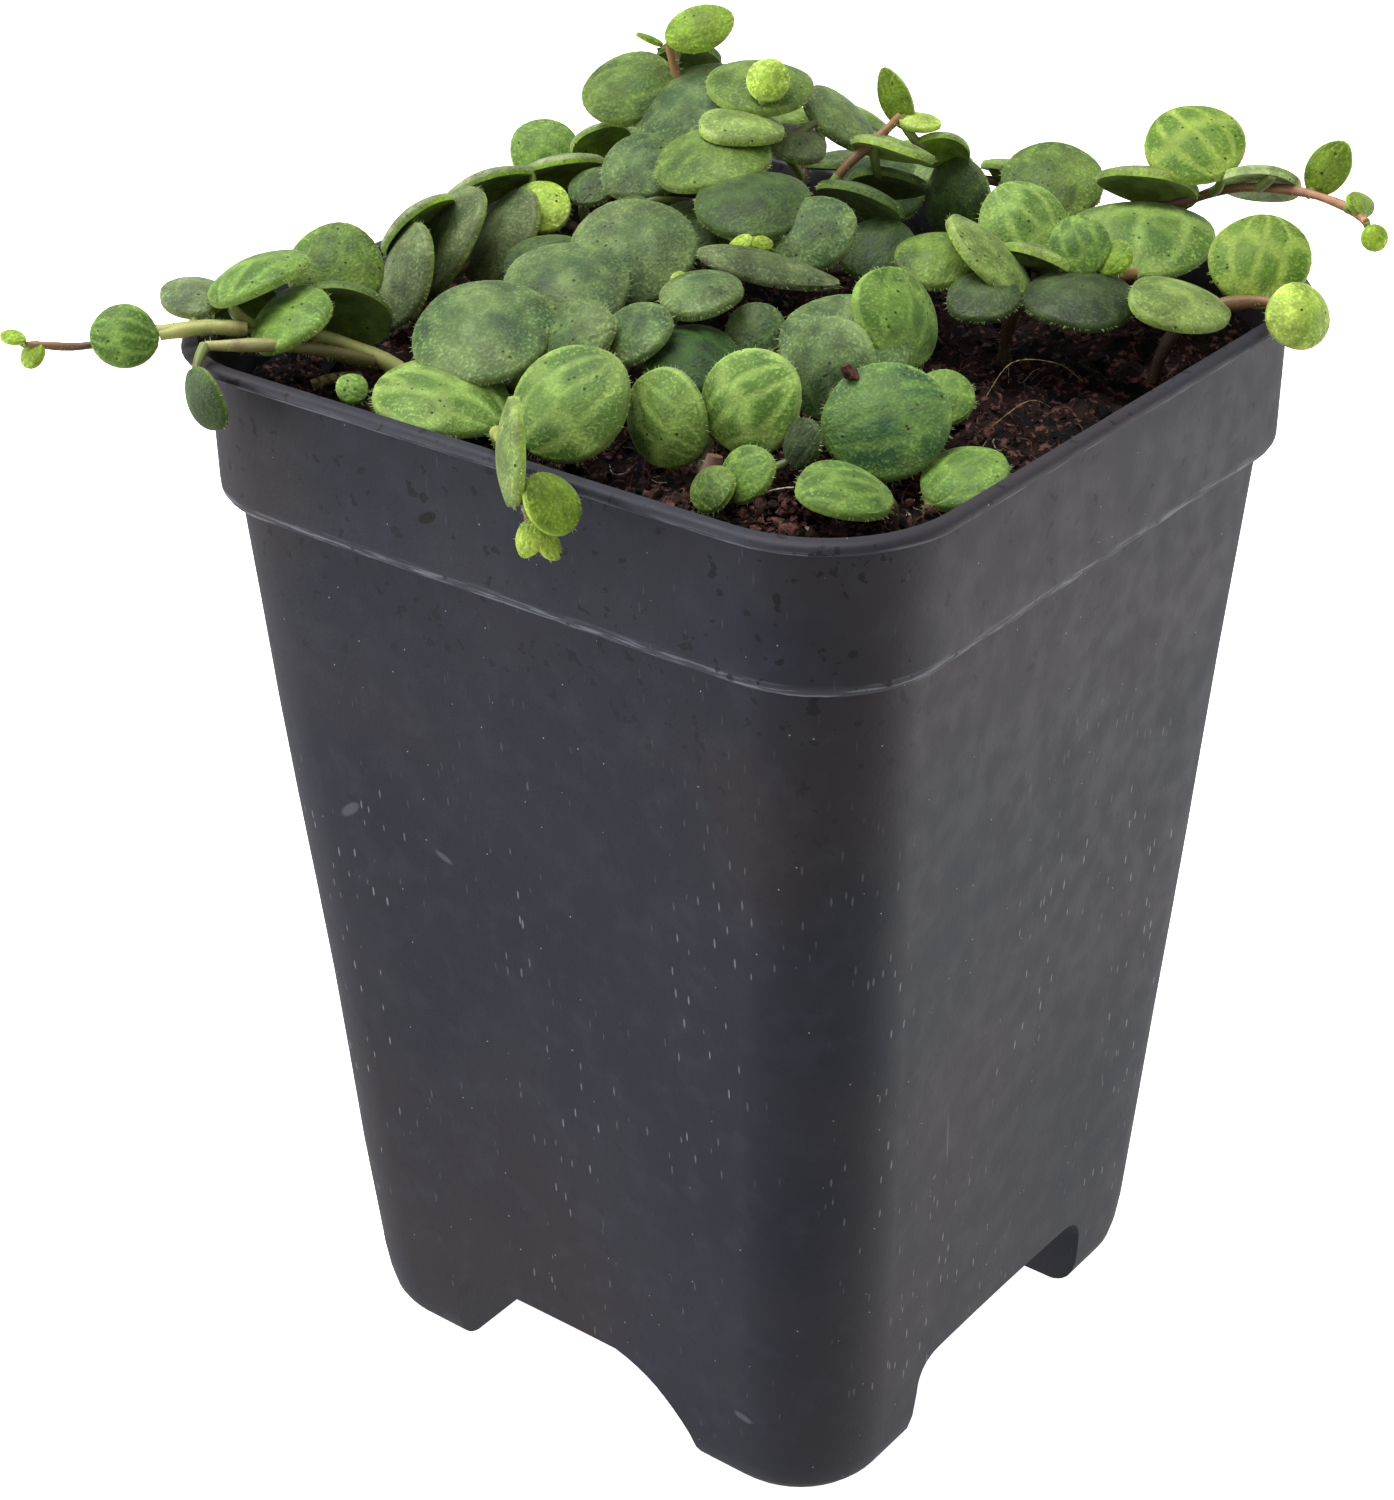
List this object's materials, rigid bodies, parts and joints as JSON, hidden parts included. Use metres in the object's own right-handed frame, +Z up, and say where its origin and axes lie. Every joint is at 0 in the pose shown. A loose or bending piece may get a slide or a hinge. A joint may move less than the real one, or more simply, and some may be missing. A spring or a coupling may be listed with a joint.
{
  "type": "potted peperomia",
  "caption": "Small creeping peperomia with round velvety leaves on trailing stems, rooted in soil in a square tapered nursery pot with hollow feet.",
  "frame": {"origin": "middle of the pot's base, on the surface that its feet stand on", "axes": "+Z up, +X out of the front right wall and -Y out of the front left wall, as the picture shows the pot"},
  "size_m": [0.0726, 0.0764, 0.1008],
  "materials": {
    "pot": "matt, faintly dusty charcoal plastic",
    "soil": "rough moist peat with fibres and crumbs",
    "fresh_leaf": "velvety, with a fine pale net of veins",
    "dull_leaf": "velvety, greyish",
    "dry_leaf": "dry and papery"
  },
  "bodies": {
    "root": {"pot": "pot", "soil": "soil", "left_runner": "fresh_leaf", "left_sprout": "fresh_leaf", "left_rim_stem": "dull_leaf", "middle_left_stem": "dull_leaf", "front_drooping_stem": "fresh_leaf", "crown_stems": "fresh_leaf", "right_tip_stem": "fresh_leaf", "right_mound_stem": "fresh_leaf", "right_lower_runner": "fresh_leaf", "right_upper_runner": "fresh_leaf", "front_middle_stem": "fresh_leaf", "front_right_stem": "dull_leaf", "corner_leaf": "fresh_leaf", "corner_sprout": "fresh_leaf", "back_left_stem": "dull_leaf", "back_stem": "dull_leaf", "back_right_stem": "dull_leaf", "dry_leaf": "dry_leaf"}
  },
  "joints": []
}
